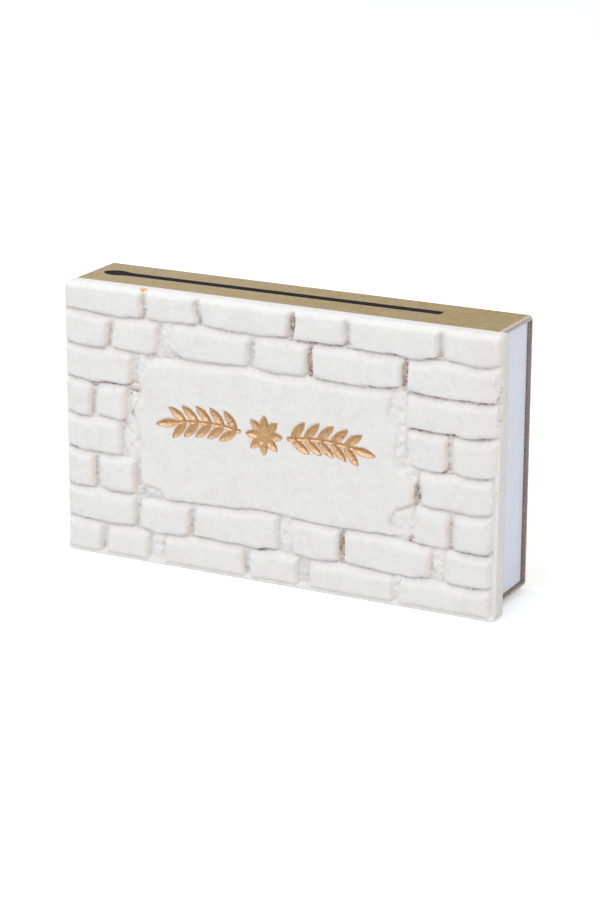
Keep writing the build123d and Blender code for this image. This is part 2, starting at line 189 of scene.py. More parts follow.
class PlaqueSettings(PropertyGroup):
    """Sizes and colours of the cast plaque"""

    cell: FloatProperty(
        name="Mesh Cell",
        description="Width of a cell of the mesh on the faces; the joints have cells of a quarter of it",
        default=0.84 * MM, min=0.6 * MM, **LENGTH)
    wander: FloatProperty(
        name="Edge Wander", description="How far the edges of the bricks wander",
        default=0.26 * MM, min=0, **LENGTH)
    undercut: FloatProperty(
        name="Undercut", description="How far the mortar lies up under the brick above it",
        default=0.58 * MM, min=0, **LENGTH)
    sidecut: FloatProperty(
        name="Side Cut", description="How far the mortar of an upright joint lies towards its right brick",
        default=0.34 * MM, min=0, **LENGTH)
    joint_widening: FloatProperty(
        name="Joint Widening", description="How far an upright joint is worn wider on each side",
        default=0.30 * MM, min=0, **LENGTH)
    sag: FloatProperty(
        name="Face Sag", description="Depth of the slow hollows in the faces of the bricks",
        default=0.12 * MM, min=0, **LENGTH)
    lip_width: FloatProperty(
        name="Lip Width", description="How far the lower bricks stay behind the soft lip at the right edge",
        default=1.1 * MM, min=0, **LENGTH)
    softening: IntProperty(
        name="Softening", description="Rounds of smoothing that wear the edges down",
        default=1, min=0, max=10)
    side_rings: IntProperty(
        name="Side Rings", description="Rings of faces round the plaque's edge",
        default=6, min=2)
    face_color: FloatVectorProperty(
        name="Face", description="Colour of the faces of the bricks",
        default=(0.790, 0.782, 0.775), **COLOR)
    shade_color: FloatVectorProperty(
        name="Mottling", description="Colour of the darker mottling",
        default=(0.735, 0.722, 0.712), **COLOR)
    # Painted shade: the darker warm colour of flanks that look right and of the border at the right edge
    flank_shade_color: FloatVectorProperty(
        name="Flank", description="Colour of the worn flanks that look right",
        default=(0.725, 0.635, 0.570), **COLOR)
    # Also the colour of the painted shade under the bricks and in the creases, mixed with the dirt
    dirt_and_shade_color: FloatVectorProperty(
        name="Dirt", description="Colour of the dirt in the mortar joints",
        default=(0.30, 0.215, 0.175), **COLOR)
    rust_color: FloatVectorProperty(
        name="Rust", description="Colour of the dirt where it is reddish",
        default=(0.36, 0.20, 0.135), **COLOR)
    stain_color: FloatVectorProperty(
        name="Stain", description="Colour of the faint stains",
        default=(0.72, 0.60, 0.44), **COLOR)


class GildingSettings(PropertyGroup):
    """Sizes and colours of the gilded ornament"""

    cell: FloatProperty(
        name="Mesh Cell", description="Width of one cell of the leaf's mesh",
        default=0.15 * MM, min=0.08 * MM, **LENGTH)
    depth: FloatProperty(
        name="Cut Depth", description="Deepest point of the cut that the leaf lies in",
        default=0.50 * MM, min=0, **LENGTH)
    steepness: FloatProperty(
        name="Steepness", description="Rise over run of the flanks of the cut",
        default=0.75, min=0.1, max=2)
    lap: FloatProperty(
        name="Lap", description="How far the leaf laps over the edge of the cut",
        default=0.12 * MM, min=0, **LENGTH)
    crinkle: FloatProperty(
        name="Crinkle", description="Height of the crinkles of the leaf",
        default=0.10 * MM, min=0, **LENGTH)
    leaf_thickness: FloatProperty(
        name="Thickness", description="Thickness of the leaf with its size coat",
        default=0.04 * MM, min=0, **LENGTH)
    gold_color: FloatVectorProperty(
        name="Gold", description="Colour of the leaf",
        default=(0.435, 0.267, 0.136), **COLOR)
    # Also the painted highlight on the leaf's flanks that look up
    bright_color: FloatVectorProperty(
        name="Bright Gold", description="Colour of the leaf where it is burnished",
        default=(0.56, 0.37, 0.22), **COLOR)
    dark_color: FloatVectorProperty(
        name="Dark Gold", description="Colour of the leaf where the size shows through",
        default=(0.20, 0.088, 0.034), **COLOR)


class SleeveSettings(PropertyGroup):
    """Colours of the card sleeve, its glue and its striking strip"""

    kraft_color: FloatVectorProperty(
        name="Kraft", description="Colour of the sleeve's outer face",
        default=(0.315, 0.220, 0.094), **COLOR)
    # Painted light: the paler colour of the outer face towards its left end
    painted_left_light_color: FloatVectorProperty(
        name="Faded Kraft", description="Colour of the outer face at its faded left end",
        default=(0.385, 0.305, 0.190), **COLOR)
    fibre_color: FloatVectorProperty(
        name="Fibre", description="Colour of the pale fibres in the kraft",
        default=(0.46, 0.37, 0.235), **COLOR)
    inside_color: FloatVectorProperty(
        name="Inside", description="Colour of the board on the inside",
        default=(0.318, 0.238, 0.203), **COLOR)
    cut_color: FloatVectorProperty(
        name="Cut Edge", description="Colour of the board's cut edges",
        default=(0.66, 0.59, 0.56), **COLOR)
    ink_color: FloatVectorProperty(
        name="Ink", description="Colour of the printed match",
        default=(0.009, 0.009, 0.011), **COLOR)
    print_tip: FloatVectorProperty(
        name="Print Place", description="Tip of the printed match's head, seen from above",
        subtype="TRANSLATION", unit="LENGTH", size=2, precision=4, default=(-54.0 * MM, 2.9 * MM))
    print_length: FloatProperty(
        name="Print Length", description="Length of the printed match",
        default=88.8 * MM, min=0, **LENGTH)
    print_turn: FloatProperty(
        name="Print Turn", description="How far the printed match is out of line with the box",
        default=math.radians(0.6), **ANGLE)
    striker_color: FloatVectorProperty(
        name="Striker", description="Colour of the striking strip",
        default=(0.085, 0.036, 0.026), **COLOR)
    glue_color: FloatVectorProperty(
        name="Glue", description="Colour of the glue",
        default=(0.62, 0.52, 0.36), **COLOR)


class TraySettings(PropertyGroup):
    """Colours of the card tray"""

    card_color: FloatVectorProperty(
        name="Card", description="Colour of the tray's card",
        default=(0.735, 0.77, 0.86), **COLOR)
    fibre_color: FloatVectorProperty(
        name="Fibre", description="Colour of the fibres in the card",
        default=(0.69, 0.72, 0.795), **COLOR)


class MatchSettings(PropertyGroup):
    """Sizes and colours of the matches"""

    splint_side: FloatProperty(
        name="Splint Side", description="Thickness of a splint",
        default=2.86 * MM, min=0.5 * MM, **LENGTH)
    arris: FloatProperty(
        name="Arris", description="Width of the worn corners of a splint",
        default=0.16 * MM, min=0, **LENGTH)
    head_radius: FloatProperty(
        name="Head Radius", description="Radius of a head at its thickest",
        default=2.04 * MM, min=0.5 * MM, **LENGTH)
    head_length: FloatProperty(
        name="Head Length", description="Length of the dipped head",
        default=6.9 * MM, min=1 * MM, **LENGTH)
    wood_color: FloatVectorProperty(
        name="Wood", description="Colour of the splints",
        default=(0.74, 0.56, 0.36), **COLOR)
    grain_color: FloatVectorProperty(
        name="Grain", description="Colour of the grain lines",
        default=(0.50, 0.33, 0.18), **COLOR)
    head_color: FloatVectorProperty(
        name="Head", description="Colour of the heads",
        default=(0.22, 0.035, 0.022), **COLOR)


class StageSettings(PropertyGroup):
    """The floor, the lights and the camera"""

    floor_size: FloatProperty(
        name="Floor", description="Length of the floor's sides",
        default=6.0, min=1.0, unit="LENGTH", subtype="DISTANCE")
    floor_color: FloatVectorProperty(
        name="Floor Colour", description="Colour of the floor as the camera sees it",
        default=(0.97, 0.97, 0.97), **COLOR)
    floor_glow: FloatProperty(
        name="Floor Glow",
        description="Share of white that the camera sees in the floor whatever falls on it",
        default=0.30, min=0, max=1, subtype="FACTOR")
    floor_bounce: FloatProperty(
        name="Floor Bounce", description="Share of light that the floor throws back on the object",
        default=0.68, min=0, max=1, subtype="FACTOR")
    sky: FloatProperty(
        name="Sky", description="Strength of the light from all round",
        default=0.58, min=0)
    key_power: FloatProperty(
        name="Key Light", description="Power of the soft light above the front, in watts",
        default=20.4, min=0)
    side_power: FloatProperty(
        name="Side Light", description="Power of the soft light at the right, in watts",
        default=3.2, min=0)
    top_power: FloatProperty(
        name="Top Light", description="Power of the soft light above the left end, in watts",
        default=0.8, min=0)
    camera_place: FloatVectorProperty(
        name="Camera", description="Place of the camera",
        subtype="TRANSLATION", unit="LENGTH", size=3, precision=4, default=(0.29374, -0.57749, 0.22840))
    yaw: FloatProperty(
        name="Yaw", description="How far the camera looks to the left",
        default=math.radians(26.917), **ANGLE)
    pitch: FloatProperty(
        name="Pitch", description="How far the camera looks down",
        default=math.radians(17.051), **ANGLE)
    roll: FloatProperty(
        name="Roll", description="How far the camera leans",
        default=math.radians(0.262), **ANGLE)
    lens: FloatProperty(
        name="Lens", description="Focal length for a picture 36 mm high, in millimetres",
        default=115.1, min=10)


# Meshes

def merged_copy(node):
    """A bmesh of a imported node, its loose triangles merged."""
    bm = bmesh.new()
    bm.from_mesh(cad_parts[node].data)
    bmesh.ops.remove_doubles(bm, verts=bm.verts, dist=MERGE)
    return bm


def add_piece(name, bm, *materials):
    """Puts a bmesh into the scene as a smooth object at the origin."""
    mesh = bpy.data.meshes.new(name)
    for face in bm.faces:
        face.smooth = True
    bm.to_mesh(mesh)
    bm.free()
    for material in materials:
        mesh.materials.append(material)
    piece = bpy.data.objects.new(name, mesh)
    bpy.context.scene.collection.objects.link(piece)
    return piece


def finish_node(node, material):
    """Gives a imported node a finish."""
    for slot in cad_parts[node].material_slots:
        slot.material = material


def front_grid(bm, middle, width, height, cell):
    """Fills a bmesh with a grid that looks towards -Y, with nearly square cells of about the given size."""
    place = Matrix((
        (width / 2, 0, 0, middle.x), (0, 0, -1, middle.y), (0, height / 2, 0, middle.z), (0, 0, 0, 1)))
    bmesh.ops.create_grid(
        bm, x_segments=round(width / cell), y_segments=round(height / cell), size=1, matrix=place)


def fade(value, start, end):
    """0 before start, 1 after end, and a smooth rise between them."""
    share = min(max((value - start) / (end - start), 0.0), 1.0)
    return share * share * (3 - 2 * share)


def waves(place, size):
    """Smooth noise from -1 to 1 with waves of this size."""
    return noise.noise(place / size)


def patches(place, size):
    """Smooth noise from 0 to 1 with patches of this size."""
    return 0.5 + 0.5 * noise.noise(place / size)


def spot(x, z, spots, gain):
    """How near a point is to the middle of the nearest of some oval spots: 0 outside them, and 1 at most."""
    nearest = 0.0
    for middle_x, middle_z, half_width, half_height in spots:
        across = (x / MM - middle_x) / half_width
        up = (z / MM - middle_z) / half_height
        nearest = max(nearest, 1 - math.sqrt(across * across + up * up) / SPOT_REACH)
    return min(nearest * gain, 1)


class Cut:
    """The ornament's outlines, which the plaque's cut and the gold leaf both follow."""

    def __init__(self):
        self.solids = []
        walls = bmesh.new()
        for node in GILDED_NODES:
            bm = merged_copy(node)
            self.solids.append(BVHTree.FromBMesh(bm))
            caps = [face for face in bm.faces if abs(face.normal.y) > 0.5]
            bmesh.ops.delete(bm, geom=caps, context="FACES")
            part = bpy.data.meshes.new("wall")
            bm.to_mesh(part)
            bm.free()
            walls.from_mesh(part)
            bpy.data.meshes.remove(part)
        self.walls = BVHTree.FromBMesh(walls)
        walls.free()
        low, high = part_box(GILDED_NODES[1])
        self.middle_y = (low.y + high.y) / 2
        boxes = [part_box(node) for node in GILDED_NODES]
        self.low_x = min(low.x for low, _ in boxes)
        self.high_x = max(high.x for _, high in boxes)
        self.low_z = min(low.z for low, _ in boxes)
        self.high_z = max(high.z for _, high in boxes)

    def near(self, x, z, reach):
        return self.low_x - reach < x < self.high_x + reach and self.low_z - reach < z < self.high_z + reach

    def outside(self, x, z):
        """Distance from a point to the outline, below zero inside it, and the outline's nearest point."""
        point = Vector((x, self.middle_y, z))
        nearest, _, _, distance = self.walls.find_nearest(point)
        start = point - TO_THE_BACK * (5 * MM)
        if any(solid.ray_cast(start, TO_THE_BACK)[0] for solid in self.solids):
            distance = -distance
        return distance, nearest


# Materials

GILT_BROWN = (0.50, 0.27, 0.13)
GILT_PALE = (0.90, 0.70, 0.40)
STRIKER_GRIT = (0.20, 0.13, 0.11)
STRIKER_SHADE = (0.05, 0.03, 0.03)
THICK_GLUE = (0.72, 0.64, 0.50)
PALE_WOOD = (0.82, 0.68, 0.49)
HEAD_GRIT = (0.36, 0.10, 0.07)
HEAD_SHADE = (0.12, 0.02, 0.015)
KRAFT_FLECK_SHARE = 0.55
CARD_THICKNESS = (0.34 * MM, 0.40 * MM)
FRAYED_BAND = (0.75 * MM, 0.45 * MM)
FRAY = 0.35 * MM

# The printed match: its head's shape as shares of the ramp's length and of the half width, and its stick
PRINT_RAMP_LENGTH = 10 * MM
PRINT_HALF_WIDTH = 2.5 * MM
PRINT_HEAD = ((0.0, 0.0), (0.05, 0.42), (0.16, 0.80), (0.30, 0.97), (0.44, 0.95), (0.58, 0.76), (0.74, 0.57))
PRINT_STICK_SHARE = 0.57
PRINT_RAGGED = 0.25 * MM
PRINT_EDGE = (-0.04 * MM, 0.06 * MM)
PRINT_TIP_EDGE = 0.2 * MM
PRINT_END_EDGE = 0.1 * MM
PRINT_UNDER_TOP = (0.12 * MM, 0.06 * MM)


def seen_directly(tree):
    """1 for the rays that see the background: the camera's own, and those by way of gloss and glass."""
    path = tree.nodes.new("ShaderNodeLightPath").outputs
    seen = path["Is Camera Ray"]
    for kind in ("Is Glossy Ray", "Is Transmission Ray"):
        most = tree.nodes.new("ShaderNodeMath")
        most.operation = "MAXIMUM"
        tree.links.new(seen, most.inputs[0])
        tree.links.new(path[kind], most.inputs[1])
        seen = most.outputs[0]
    return seen


class Finish:
    """A material that is put together from nodes, on Object coordinates."""

    def __init__(self, name):
        self.material = bpy.data.materials.new(name)
        self.material.use_nodes = True
        self.tree = self.material.node_tree
        self.shader = self.tree.nodes["Principled BSDF"]
        coordinates = self.node("ShaderNodeTexCoord")
        self.place = coordinates.outputs["Object"]
        self.normal = coordinates.outputs["Normal"]

    def node(self, kind, inputs=None, **settings):
        node = self.tree.nodes.new(kind)
        for name, value in settings.items():
            setattr(node, name, value)
        for name, value in (inputs or {}).items():
            self.put(node.inputs[name], value)
        return node

    def put(self, socket, value):
        """Links a socket to another one, or sets it."""
        if isinstance(value, bpy.types.NodeSocket):
            self.tree.links.new(value, socket)
        elif hasattr(value, "__len__") and len(value) == 3 and len(socket.default_value) == 4:
            socket.default_value = (*value, 1)
        else:
            socket.default_value = value

    def set(self, **values):
        """Sets or links the shader's own sockets, named with _ for a space."""
        for name, value in values.items():
            self.put(self.shader.inputs[name.replace("_", " ")], value)

    def stretched(self, scale=(1, 1, 1), turn=(0, 0, 0), place=(0, 0, 0)):
        """Object coordinates, moved, turned and stretched."""
        mapping = self.node(
            "ShaderNodeMapping", {0: self.place, "Location": place, "Rotation": turn, "Scale": scale})
        return mapping.outputs[0]

    def grain(self, size, detail=2.0, roughness=0.5, where=None):
        """Noise with features about this size."""
        node = self.node(
            "ShaderNodeTexNoise",
            {"Vector": where or self.place, "Scale": 1 / size, "Detail": detail, "Roughness": roughness})
        return node.outputs["Fac"]

    def cells(self, size):
        """Distance to the middle of the nearest of a pattern of cells of about this size."""
        node = self.node("ShaderNodeTexVoronoi", {"Vector": self.place, "Scale": 1 / size})
        return node.outputs["Distance"]

    def math(self, operation, *values, clamp=False):
        node = self.node("ShaderNodeMath", dict(enumerate(values)), operation=operation, use_clamp=clamp)
        return node.outputs[0]

    def plus(self, first, second):
        return self.math("ADD", first, second)

    def minus(self, first, second):
        return self.math("SUBTRACT", first, second)

    def times(self, first, second, clamp=False):
        return self.math("MULTIPLY", first, second, clamp=clamp)

    def between(self, value, start, end, low=0.0, high=1.0):
        """A smooth step from low to high as the value goes from start to end."""
        node = self.node(
            "ShaderNodeMapRange",
            {"Value": value, "From Min": start, "From Max": end, "To Min": low, "To Max": high},
            interpolation_type="SMOOTHSTEP")
        return node.outputs["Result"]

    def mix(self, share, first, second):
        return self.node("ShaderNodeMix", {0: share, 6: first, 7: second}, data_type="RGBA").outputs[2]

    def blotched(self, color, other, pattern, start, end, most=1.0):
        """A colour with another one in it, up to a share, where a pattern rises from start to end."""
        return self.mix(self.between(pattern, start, end, high=most), color, other)

    def painted(self, name):
        """A value painted on the mesh."""
        return self.node("ShaderNodeAttribute", attribute_name=name).outputs["Fac"]

    def axes(self, vector):
        return self.node("ShaderNodeSeparateXYZ", {0: vector}).outputs

    def bump(self, height, depth):
        """Normals for a height that goes from 0 to 1, depth metres deep."""
        return self.node("ShaderNodeBump", {"Height": height, "Distance": depth, "Strength": 1.0}).outputs[0]


def stone_finish(colors):
    """Chalky cast stone with mottling, dirt and painted shade in the joints, painted warm shade on flanks that
    look right and near the right edge, faint stains and specks of gold.
    """
    stone = Finish("cast_stone")
    clouds = stone.grain(6 * MM, detail=3, roughness=0.6)
    middling = stone.grain(1.5 * MM, detail=2, roughness=0.6)
    speckle = stone.grain(0.55 * MM, detail=3, roughness=0.7)
    color = stone.blotched(colors.face_color, colors.shade_color, clouds, 0.42, 0.68, most=0.5)
    color = stone.blotched(color, colors.shade_color, middling, 0.48, 0.66, most=0.55)
    color = stone.blotched(color, colors.shade_color, speckle, 0.48, 0.70, most=0.6)

    stained = stone.grain(9 * MM, where=stone.stretched(place=(0.3, 0, 0.1)))
    broken = stone.grain(1.6 * MM, detail=3, roughness=0.6)
    stain = stone.times(stone.between(stained, 0.66, 0.78), stone.between(broken, 0.46, 0.66, high=0.5))
    color = stone.mix(stain, color, colors.stain_color)
    # Painted shade: flanks that look right and the right border take the darker, warmer flank colour
    flank_shade_breakup = stone.between(stone.grain(1.8 * MM, detail=3, roughness=0.6), 0.3, 0.7, low=0.55)
    color = stone.mix(stone.times(stone.painted("flank"), flank_shade_breakup), color, colors.flank_shade_color)

    # Painted shade with dirt: the joints darken under the bricks and in the creases
    dirt_and_shade_breakup = stone.between(stone.grain(0.7 * MM, roughness=0.6), 0.36, 0.60, low=0.48, high=1.28)
    dirt = stone.times(stone.painted("dirt"), dirt_and_shade_breakup, clamp=True)
    soil_and_shade = stone.blotched(colors.dirt_and_shade_color, colors.rust_color, stone.grain(2.2 * MM), 0.42, 0.62, most=0.65)
    color = stone.mix(dirt, color, soil_and_shade)
    pits = stone.between(stone.cells(2.6 * MM), 0.05, 0.11, low=1, high=0)
    pits = stone.times(pits, stone.between(stone.grain(3.4 * MM, detail=1), 0.56, 0.60))
    color = stone.mix(stone.times(pits, 0.22), color, colors.dirt_and_shade_color)

    flakes = stone.times(stone.grain(0.8 * MM, detail=3, roughness=0.7), 0.9)
    gilt = stone.between(stone.plus(stone.painted("gilt"), flakes), 0.80, 0.98)
    glitter = stone.grain(0.45 * MM, roughness=0.6)
    color = stone.mix(gilt, color, stone.blotched(GILT_BROWN, GILT_PALE, glitter, 0.36, 0.60))
    relief = stone.minus(stone.plus(stone.times(speckle, 0.7), middling), pits)
    stone.set(
        Base_Color=color, Roughness=0.88, Specular_IOR_Level=0.25, Metallic=stone.times(gilt, 0.4),
        Normal=stone.bump(relief, 0.075 * MM))
    return stone.material


def gold_finish(colors):
    """Crinkled gold leaf over a brown size, with a painted highlight on the flanks of the cut that look up."""
    gold = Finish("gold_leaf")
    patch = gold.grain(0.9 * MM, detail=3, roughness=0.65)
    # Painted highlight: the flanks that look up lean towards the bright gold
    patches_and_highlight = gold.plus(gold.times(patch, 0.7), gold.times(gold.painted("burnish"), 0.55))
    worn = gold.grain(0.62 * MM, detail=3, roughness=0.7, where=gold.stretched(place=(0.2, 0.1, 0)))
    color = gold.blotched(colors.gold_color, colors.bright_color, patches_and_highlight, 0.56, 0.86)
    color = gold.blotched(color, colors.dark_color, worn, 0.55, 0.70, most=0.85)
    crinkle = gold.grain(0.34 * MM, detail=3, roughness=0.6)
    gold.set(
        Base_Color=color, Metallic=1.0, Roughness=gold.between(crinkle, 0.3, 0.7, low=0.42, high=0.62),
        Normal=gold.bump(crinkle, 0.06 * MM))
    return gold.material


def kraft_finish(colors):
    """Kraft-faced board: fibres outside with painted light that makes them paler towards the left end,
    grey-brown inside, paler cut edges, a printed match on the top.
    """
    card = Finish("kraft_card")
    fibres = card.grain(0.21 * MM, detail=3, roughness=0.65, where=card.stretched((0.35, 1, 1)))
    crossing = card.grain(
        0.26 * MM, roughness=0.6, where=card.stretched((1, 0.4, 0.4), turn=(0.3, 0.5, 0.9)))
    flecks = card.grain(0.36 * MM, roughness=0.6, where=card.stretched((0.3, 1, 1), place=(0.2, 0, 0)))
    cloud = card.grain(5 * MM, detail=3, roughness=0.6)
    mottle = card.grain(0.35 * MM, detail=3, roughness=0.7)
    low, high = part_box("sleeve")
    x, y, z = card.axes(card.place)

    # Painted light: the outer face is paler towards its left end
    painted_left_light = card.between(x, low.x, high.x, low=0.75, high=0)
    fleck_color = [KRAFT_FLECK_SHARE * value for value in colors.kraft_color]
    color = card.mix(painted_left_light, colors.kraft_color, colors.painted_left_light_color)
    color = card.blotched(color, colors.fibre_color, fibres, 0.40, 0.62, most=0.85)
    color = card.blotched(color, colors.fibre_color, crossing, 0.60, 0.74, most=0.40)
    color = card.blotched(color, fleck_color, flecks, 0.56, 0.70, most=0.62)
    color = card.blotched(color, colors.fibre_color, cloud, 0.42, 0.66, most=0.28)
    color = card.mix(printed_match(card, colors, z, high.z), color, colors.ink_color)
    frays = card.between(card.grain(0.5 * MM, detail=3, roughness=0.7), 0.3, 0.7, low=-FRAY, high=FRAY)
    band_start, band_end = (high.x - width for width in FRAYED_BAND)
    color = card.blotched(color, colors.cut_color, card.plus(x, frays), band_start, band_end, most=0.85)

    depths = (card.minus(y, low.y), card.minus(high.y, y), card.minus(z, low.z), card.minus(high.z, z))
    inset = depths[0]
    for depth in depths[1:]:
        inset = card.math("MINIMUM", inset, depth)
    inside = card.blotched(colors.inside_color, colors.cut_color, fibres, 0.40, 0.70, most=0.5)
    color = card.blotched(color, inside, inset, *CARD_THICKNESS)
    cut = card.blotched(colors.inside_color, colors.cut_color, mottle, 0.36, 0.54)
    sideways = card.math("ABSOLUTE", card.axes(card.normal)[0])
    color = card.blotched(color, cut, sideways, 0.6, 0.8)
    card.set(
        Base_Color=color, Roughness=0.9, Specular_IOR_Level=0.1,
        Normal=card.bump(card.plus(fibres, mottle), 0.03 * MM))
    return card.material


def printed_match(card, colors, z, top_z):
    """Share of ink on the sleeve's top: the plain silhouette of a match."""
    tip_x, tip_y = colors.print_tip
    frame_of_print = card.node(
        "ShaderNodeMapping",
        {0: card.place, "Location": (tip_x, tip_y, 0), "Rotation": (0, 0, colors.print_turn)},
        vector_type="TEXTURE")
    along, across, _ = card.axes(frame_of_print.outputs[0])
    shape = card.node("ShaderNodeValToRGB", {0: card.math("DIVIDE", along, PRINT_RAMP_LENGTH)})
    ramp = shape.color_ramp
    ramp.interpolation = "B_SPLINE"
    for position, width in PRINT_HEAD:
        stop = ramp.elements.new(position) if position > 0 else ramp.elements[0]
        stop.position = position
        stop.color = (width, width, width, 1)
    ramp.elements[-1].color = (PRINT_STICK_SHARE, PRINT_STICK_SHARE, PRINT_STICK_SHARE, 1)

    half_width = card.times(shape.outputs[0], PRINT_HALF_WIDTH)
    ragged = card.times(card.minus(card.grain(0.5 * MM), 0.5), PRINT_RAGGED)
    clear = card.minus(half_width, card.math("ABSOLUTE", across))
    end = colors.print_length
    depth_start, depth_end = (top_z - depth for depth in PRINT_UNDER_TOP)
    ink = card.between(card.plus(clear, ragged), *PRINT_EDGE)
    ink = card.times(ink, card.between(along, 0, PRINT_TIP_EDGE))
    ink = card.times(ink, card.between(along, end - PRINT_END_EDGE, end, low=1, high=0))
    ink = card.times(ink, card.between(z, depth_start, depth_end))
    return card.times(ink, card.between(card.grain(0.22 * MM), 0.28, 0.42, low=0.90))


def striker_finish(colors):
    """Dark gritty striking surface."""
    striker = Finish("striker")
    grit = striker.grain(0.16 * MM, roughness=0.7)
    color = striker.blotched(colors.striker_color, STRIKER_GRIT, grit, 0.50, 0.72)
    color = striker.blotched(color, STRIKER_SHADE, striker.grain(5 * MM, detail=3), 0.4, 0.7, most=0.4)
    striker.set(Base_Color=color, Roughness=0.7, Normal=striker.bump(grit, 0.07 * MM))
    return striker.material


def glue_finish(colors):
    """Clear yellowish glue."""
    glue = Finish("glue")
    color = glue.mix(glue.grain(2.5 * MM, detail=3), colors.glue_color, THICK_GLUE)
    glue.set(Base_Color=color, Roughness=0.35, Normal=glue.bump(glue.grain(1.2 * MM), 0.05 * MM))
    return glue.material


def tray_finish(colors):
    """White card with a cool cast and fine fibres."""
    card = Finish("white_card")
    fibres = card.grain(0.28 * MM, detail=3, roughness=0.6, where=card.stretched((1, 0.6, 0.25)))
    color = card.blotched(colors.card_color, colors.fibre_color, fibres, 0.40, 0.75, most=0.5)
    color = card.blotched(color, colors.fibre_color, card.grain(9 * MM), 0.4, 0.7, most=0.5)
    card.set(
        Base_Color=color, Roughness=0.62, Specular_IOR_Level=0.35, Normal=card.bump(fibres, 0.012 * MM))
    return card.material


def wood_finish(colors):
    """Pale splint wood with its grain along the match."""
    wood = Finish("splint_wood")
    lines = wood.grain(0.42 * MM, detail=3, roughness=0.6, where=wood.stretched((0.035, 1, 1)))
    pores = wood.grain(0.16 * MM, roughness=0.6, where=wood.stretched((0.08, 1, 1)))
    color = wood.blotched(colors.wood_color, colors.grain_color, lines, 0.42, 0.72)
    color = wood.blotched(color, colors.grain_color, pores, 0.60, 0.74, most=0.5)
    color = wood.blotched(color, PALE_WOOD, wood.grain(4 * MM, detail=1), 0.35, 0.65, most=0.4)
    wood.set(Base_Color=color, Roughness=0.68, Normal=wood.bump(wood.plus(lines, pores), 0.04 * MM))
    return wood.material


def head_finish(colors):
    """Dipped match head: matt, slightly grainy."""
    head = Finish("match_head")
    grit = head.grain(0.22 * MM, detail=3, roughness=0.7)
    color = head.blotched(colors.head_color, HEAD_GRIT, grit, 0.45, 0.75, most=0.6)
    color = head.blotched(color, HEAD_SHADE, head.grain(1.6 * MM), 0.5, 0.7, most=0.5)
    head.set(Base_Color=color, Roughness=0.5, Normal=head.bump(grit, 0.05 * MM))
    return head.material


def floor_finish(colors):
    """A floor that the camera sees paler than the object does."""
    floor = Finish("floor")
    seen = seen_directly(floor.tree)
    bounce = (colors.floor_bounce,) * 3
    floor.set(
        Base_Color=floor.mix(seen, bounce, colors.floor_color), Roughness=0.9, Specular_IOR_Level=0.0,
        Emission_Color=(1, 1, 1), Emission_Strength=floor.times(seen, colors.floor_glow))
    return floor.material


# Plaque

class Relief:
    """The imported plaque's front as a height field, its brick edges wandering and its rim rounded."""

    def __init__(self, sizes, cut):
        self.low, self.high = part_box("plaque")
        self.middle = (self.low + self.high) / 2
        self.half = (self.high - self.low) / 2
        self.sizes = sizes
        self.cut = cut
        solid = merged_copy("plaque")
        self.tree = BVHTree.FromBMesh(solid)
        solid.free()

    def from_edge(self, x, z):
        """Distance to the plaque's outline."""
        return min(self.half.x - abs(x - self.middle.x), self.half.z - abs(z - self.middle.z))

    def height_share(self, z):
        """0 at the plaque's foot and 1 at its top."""
        return (z - self.low.z) / (self.high.z - self.low.z)

    def kept_inside(self, x, z):
        """The point, moved inside the rounded outline if it lies past it."""
        straight = Vector((self.half.x - CORNER_RADIUS, self.half.z - CORNER_RADIUS))
        across, up = x - self.middle.x, z - self.middle.z
        core = Vector((max(min(across, straight.x), -straight.x), max(min(up, straight.y), -straight.y)))
        out = Vector((across, up)) - core
        reach = CORNER_RADIUS - EDGE_MARGIN
        if out.length > reach:
            out = out.normalized() * reach
        return self.middle.x + core.x + out.x, self.middle.z + core.y + out.y

    def depth(self, x, z):
        """Depth of the relief under the front of the bricks, drawn from a little beside the joints."""
        sizes = self.sizes
        edge = self.from_edge(x, z)
        inner = fade(edge, *SHIFT_INWARD)
        here = Vector((x, 0, z))
        rough = noise.noise_vector(here / SLOW_WANDER) * sizes.wander
        fine = noise.noise_vector((here + FINE_WANDER_DRIFT) / FINE_WANDER)
        rough = (rough + fine * (sizes.wander * FINE_WANDER_SHARE)) * fade(edge, *WANDER_INWARD)
        at_x = x + rough.x + sizes.sidecut * SIDECUT_DRAWN * inner
        at_z = z + rough.z
        if not self.cut.near(x, z, ORNAMENT_CALM):
            at_z += sizes.undercut * UNDERCUT_DRAWN * inner
        at_x += sizes.lip_width * self.lip(x, z)
        widen = sizes.joint_widening * inner
        depth = max(self.drop(at_x - widen, at_z), self.drop(at_x + widen, at_z))
        up = z - self.low.z
        if up >= FOOT_UPWARD[1]:
            return depth
        least, most = FOOT_DEPTHS
        return min(depth, (least + (most - least) * fade(up, *FOOT_UPWARD)) * RELIEF_DEPTH)

    def drop(self, x, z):
        """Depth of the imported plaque's front at a point."""
        x, z = self.kept_inside(x, z)
        hit = self.tree.ray_cast(Vector((x, self.low.y - 10 * MM, z)), TO_THE_BACK)[0]
        return min(hit.y - self.low.y, DEEPEST) if hit else DEEPEST

    def valley(self, x, z):
        """How surely a point lies in an upright joint: both sides of it are higher up."""
        return fade(max(self.depth(x - JOINT_REACH, z), self.depth(x + JOINT_REACH, z)), *VALLEY_SIDES)

    def detail(self, x, z, depth):
        """How often a cell is halved: once near the relief, twice in the joints and along the ornament."""
        if depth > FLAT_DEPTH:
            return HALVINGS if depth > FINE_DEPTH else 1
        if self.cut.near(x, z, ORNAMENT_REACH):
            outside = abs(self.cut.outside(x, z)[0])
            return HALVINGS if outside < ORNAMENT_FINE else 1 if outside < ORNAMENT_REACH else 0
        return 0

    def lip(self, x, z):
        """Share by which the bricks draw back from the right edge, behind the casting's soft lip."""
        start = LIP_TOP_SHARE + LIP_WAVE_SHARE * waves(Vector((LIP_DRIFT, 0, z)), LIP_WAVE)
        return fade(self.high.x - x, *LIP_INWARD) * fade(self.height_share(z), start, start - LIP_FADE_SHARE)


